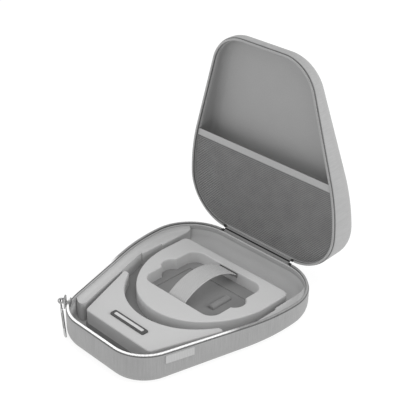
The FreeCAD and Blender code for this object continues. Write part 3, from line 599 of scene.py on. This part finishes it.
def strip(name, matrix, path, width_points, thickness):
    """Flat band between two x places: path is (y, z) pairs, each with its own thickness."""
    path = np.array(path, float)
    tangent = np.gradient(path, axis=0)
    tangent /= np.linalg.norm(tangent, axis=1)[:, None]
    normal = np.column_stack([-tangent[:, 1], tangent[:, 0]])
    length = np.concatenate([[0], np.cumsum(np.linalg.norm(np.diff(path, axis=0), axis=1))])
    low, high = width_points
    bevel = float(np.min(thickness)) * 0.45
    middle = np.linspace(low, high, 26)[1:-1]
    xs = [low, low + bevel * 0.3, low + bevel, *middle, high - bevel, high - bevel * 0.3, high]
    shares = [0.0, 0.7, 1.0, *[1.0] * 24, 1.0, 0.7, 0.0]
    columns = list(zip(xs, shares)) + list(zip(xs[-2:0:-1], [-s for s in shares[-2:0:-1]]))
    points = []
    for (y, z), (ny, nz), t in zip(path, normal, thickness):
        for x, share in columns:
            points.append((x, y + ny * share * t / 2, z + nz * share * t / 2))
    count = len(columns)
    faces = grid_faces(len(path), count) + end_faces(len(path), count)
    uvs = [[(columns[i % count][0] * MM, length[i // count] * MM) for i in face] for face in faces]
    return new_piece(name, place(matrix, points), faces, uvs)


def make_hinge():
    """Folded cloth that bridges the gap between the rims and bends about the hinge line."""
    inset, bend, folded_thickness = 0.4, 0.8, 0.9
    base_side = [(-1.2, 1.6), (-0.5, 1.6), (0.2, 1.5), (0.8, 1.1), (1.3, 0.9)]
    lid_side = [(0.9, 0.9), (1.3, 1.1), (1.9, 1.5), (2.6, 1.6), (3.3, 1.6)]
    front = HINGE_Y - inset
    path = [(front, height) for height, _ in base_side]
    for turn in np.linspace(math.pi, math.pi - OPENING, 7):
        path.append((front + bend + bend * math.cos(turn), RIM_GAP / 2 - inset + bend * math.sin(turn)))
    folds = len(path) - len(base_side)
    for reach, _ in lid_side:
        path.append((HINGE_Y + reach * math.sin(OPENING) - inset * math.cos(OPENING),
                     RIM_GAP / 2 + reach * math.cos(OPENING) + inset * math.sin(OPENING)))
    thickness = np.array([*[t for _, t in base_side], *[folded_thickness] * folds,
                          *[t for _, t in lid_side]])
    hinge = strip("hinge_cloth", BASE_PLACE, path, (-HINGE_HALF, HINGE_HALF), thickness)
    hinge.data.materials.append(HINGE_PAINTED_CREASE_SHADE)
    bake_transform(hinge)
    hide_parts("base_hinge_tape", "lid_hinge_tape")


make_shell("base_cover", BASE, BASE_PLACE, "base", BASE_OUTER_PAINTED_SHADE, "base_shell")
make_shell("lid_cover", LID, LID_PLACE, "lid", LID_OUTER_PAINTED_LIGHT, "lid_shell")
make_lining("base_inside", BASE, BASE_PLACE, "base", BASE_LINING_PAINTED_LIGHT, "base_lining")
make_lining("lid_inside", LID, LID_PLACE, "lid", LINING, "lid_lining")
make_binding("base_hem", BASE, BASE_PLACE, "base", "base_binding")
make_binding("lid_hem", LID, LID_PLACE, "lid", "lid_binding")
make_teeth("base_coil", BASE, BASE_PLACE, "base", BASE_COIL_PAINTED_HIGHLIGHT, "base_zipper_teeth")
make_teeth("lid_coil", LID, LID_PLACE, "lid", LID_COIL, "lid_zipper_teeth")
make_hinge()
make_stitches("lid_stitches", LID, LID_PLACE, "lid")
make_stitches("base_stitches", BASE, BASE_PLACE, "base")


# ---------------------------------------------------------------- strap and pocket

def make_strap():
    """Elastic bowed over the cavity: a round arch from slot to slot, tucked in at both ends."""
    low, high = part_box("elastic_strap")
    front, rear = -8.0, 73.0
    seat, rise, tuck, thick = -11.6, 14.6, 4.0, 1.4
    half = (rear - front) / 2
    radius = (half * half + rise * rise) / (2 * rise) - thick / 2
    middle, centre = (front + rear) / 2, seat + rise - radius - thick / 2
    last = math.asin((half + tuck) / (radius + thick / 2))
    path = [(middle + radius * math.sin(a), centre + radius * math.cos(a))
            for a in np.linspace(-last, last, 61)]
    sides = (low.x / MM, high.x / MM)
    strap = strip("strap_webbing", BASE_PLACE, path, sides, np.full(len(path), thick))
    finish_piece(strap, "base", ELASTIC, "elastic", "elastic_strap")


def make_pocket_mesh():
    """Sheet of netting across the wide end of the lid, a little slack between its edges."""
    rear = LENGTH / 2 - INSIDE
    height, slack = 1.75, 0.9
    rows = np.linspace(MESH_FRONT - 1.0, rear - 0.4, 70)
    columns = np.linspace(-1, 1, 90)
    points = []
    for y in rows:
        half = half_width(y, INSIDE + 0.1)
        for c in columns:
            bulge = (1 - c ** 4) * math.sin(math.pi * (y - rows[0]) / (rows[-1] - rows[0]))
            points.append((c * half, y, height + slack * bulge))
    faces = grid_faces(len(rows), len(columns), closed=False)
    mesh = new_piece("pocket_netting", place(LID_PLACE, points), faces, flat_uvs(points, faces))
    finish_piece(mesh, "lid", MESH, "mesh", "mesh_pocket")


def make_pocket_band():
    """Folded band along the mouth of the pocket, with rounded long edges."""
    section = [(0.0, 0.0), (0.05, -0.32), (0.3, -0.5), (1.2, -0.5), (4.0, -0.46), (6.8, -0.5), (7.7, -0.5),
               (7.95, -0.32), (8.0, 0.0), (7.95, 0.32), (7.7, 0.5), (4.0, 0.5), (0.3, 0.5), (0.05, 0.32)]
    height = 1.7
    columns = np.linspace(-1, 1, 60)
    points = []
    for c in columns:
        for along, up in section:
            y = BAND_FRONT + along
            points.append((c * (half_width(y, INSIDE) - 0.05), y, height + up))
    shape = len(columns), len(section)
    faces = grid_faces(*shape, flip=True) + end_faces(*shape, flip=True)
    band = new_piece("pocket_mouth_band", place(LID_PLACE, points), faces, flat_uvs(points, faces))
    finish_piece(band, "lid", BAND, "pocket_band", "pocket_binding")


make_strap()
make_pocket_mesh()
make_pocket_band()


# ---------------------------------------------------------------- carried-over CAD parts

# Material and rounding in millimetres
FINISHES = {
    "base_zipper_tape": (TAPE_PAINTED_SHADE, 0), "lid_zipper_tape": (TAPE_PAINTED_SHADE, 0), "base_zip_stops": (STOP, 0.3),
    "lid_zip_stops": (STOP, 0.3), "side_label": (LABEL, 0.25), "tray_floor": (DEEP_TRAY_PAINTED_SHADE, 0),
    "front_block": (TRAY, 0), "rear_block": (TRAY, 0), "left_ledge": (TRAY, 0), "right_ledge": (TRAY, 0),
    "cavity_liner": (DEEP_TRAY_PAINTED_SHADE, 0.5), "front_strap_anchor": (ANCHOR, 0.3),
    "rear_strap_anchor": (ANCHOR, 0.3), "badge_plate": (BADGE, 0.35), "badge_inlay": (INLAY, 0.12),
    "slider_body": (CHROME, 0.35), "slider_bail": (CHROME, 0.35), "pull_tab": (CHROME, 0.3)}
for name, (material, rounding) in FINISHES.items():
    node = NODES[name]
    node.data.materials.clear()
    node.data.materials.append(material)
    if rounding:
        bevel = node.modifiers.new("rounding", "BEVEL")
        bevel.width = rounding * MM
        bevel.segments = 3
        bevel.limit_method = "ANGLE"
        bevel.angle_limit = math.radians(40)


# ---------------------------------------------------------------- floor, light and camera

def make_floor():
    """Pale paper under the whole scene."""
    size = 6.0
    floor = new_piece("floor", [(-size, -size, 0), (size, -size, 0), (size, size, 0), (-size, size, 0)],
                      [[0, 1, 2, 3]], smooth=False)
    n = Nodes("floor_paper")
    n.surface((0.2, 0.2, 0.2, 1), 0.95, Emission_Color=(1, 1, 1, 1), Emission_Strength=0.84,
              Specular_IOR_Level=0.1)
    floor.data.materials.append(n.material)


def make_light(name, place_at, target, size, power):
    """Round soft light at a place, turned to a target."""
    light = bpy.data.lights.new(name, "AREA")
    light.shape = "DISK"
    light.size = size
    light.energy = power
    lamp = bpy.data.objects.new(name, light)
    lamp.location = place_at
    lamp.rotation_mode = "QUATERNION"
    lamp.rotation_quaternion = (Vector(target) - Vector(place_at)).to_track_quat("-Z", "Y")
    bpy.context.scene.collection.objects.link(lamp)


def make_world():
    """Even white surroundings."""
    world = bpy.data.worlds.new("studio")
    world.use_nodes = True
    world.node_tree.nodes["Background"].inputs["Color"].default_value = (1, 1, 1, 1)
    world.node_tree.nodes["Background"].inputs["Strength"].default_value = 0.8
    bpy.context.scene.world = world


def make_camera():
    """Camera at the photograph's angle; its place and lens were fitted to the outlines of both rims."""
    azimuth, elevation, roll = math.radians(44.555), math.radians(31.343), math.radians(-0.104)
    back = Vector((math.sin(azimuth) * math.cos(elevation), -math.cos(azimuth) * math.cos(elevation),
                   math.sin(elevation)))
    camera = bpy.data.objects.new("camera", bpy.data.cameras.new("camera"))
    camera.data.lens = 83.56
    camera.data.sensor_width = 36.0
    camera.data.clip_start, camera.data.clip_end = 0.01, 20.0
    camera.location = Vector((597.23, -566.11, 630.29)) * MM
    turn = (-back).to_track_quat("-Z", "Y").to_matrix().to_4x4() @ Matrix.Rotation(roll, 4, "Z")
    camera.rotation_mode = "QUATERNION"
    camera.rotation_quaternion = turn.to_quaternion()
    bpy.context.scene.collection.objects.link(camera)
    bpy.context.scene.camera = camera


make_floor()
make_world()
make_light("key", (0.4, -0.3, 1.6), (0, 0, 0.05), 1.4, 6.0)
make_light("fill", (-0.3, -1.7, 0.6), (0, 0.1, 0.15), 1.2, 9.0)
make_light("side", (1.6, 0.7, 0.8), (0, 0.1, 0.15), 1.0, 15.0)
make_camera()
bpy.context.scene.view_settings.view_transform = "Standard"
